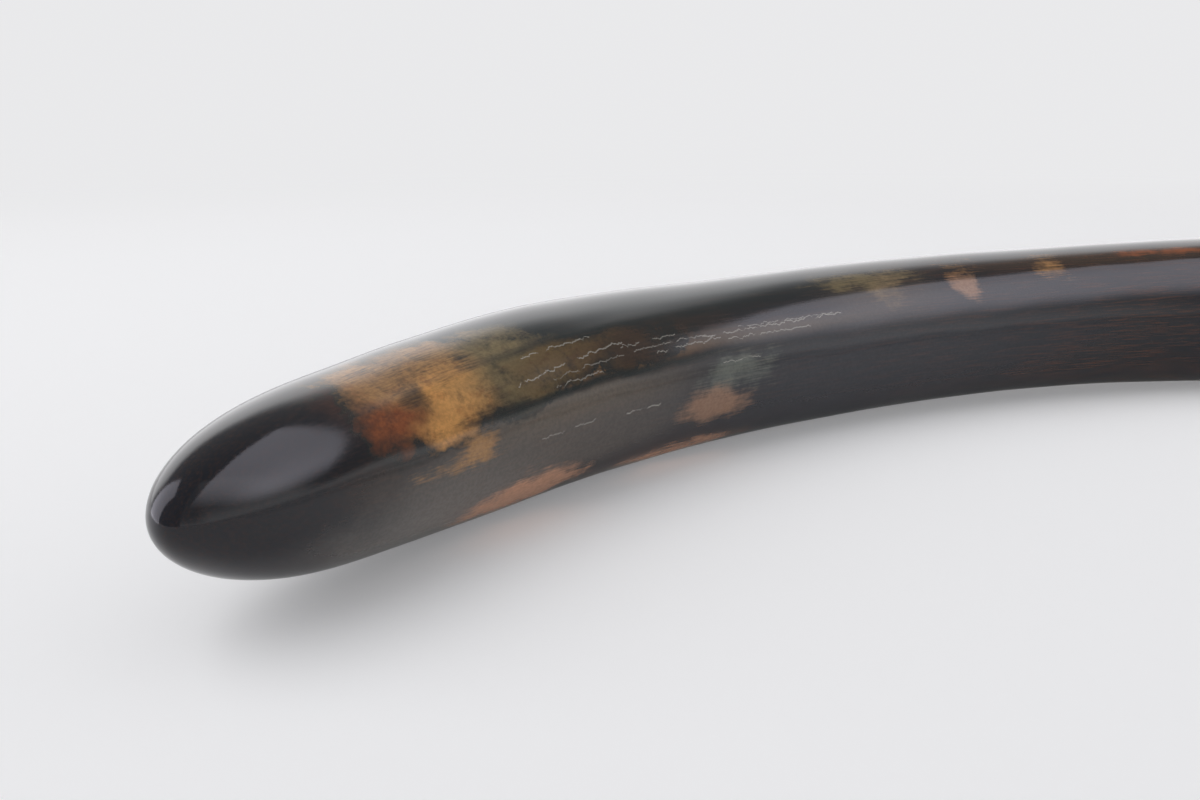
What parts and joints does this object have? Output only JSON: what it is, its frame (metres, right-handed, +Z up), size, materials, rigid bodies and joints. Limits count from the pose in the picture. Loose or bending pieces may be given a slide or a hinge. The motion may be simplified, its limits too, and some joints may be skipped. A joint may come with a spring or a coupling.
{
  "type": "mammoth tusk",
  "caption": "Curved mammoth tusk lying on its side, with a blunt worn tip, a dark mottled polished surface and an open pulp cavity at the square-cut root.",
  "frame": {"origin": "middle of the footprint, on the surface that the tusk lies on", "axes": "+Z up; +X from the tip's side towards the root's side, across the bow's longest extent; the bow bulges towards +Y and its open side faces -Y, as does the square-cut root end"},
  "size_m": [1.052, 0.6342, 0.0954],
  "materials": {
    "ivory": "gloss"
  },
  "bodies": {
    "root": {"tusk": "ivory"}
  },
  "joints": []
}
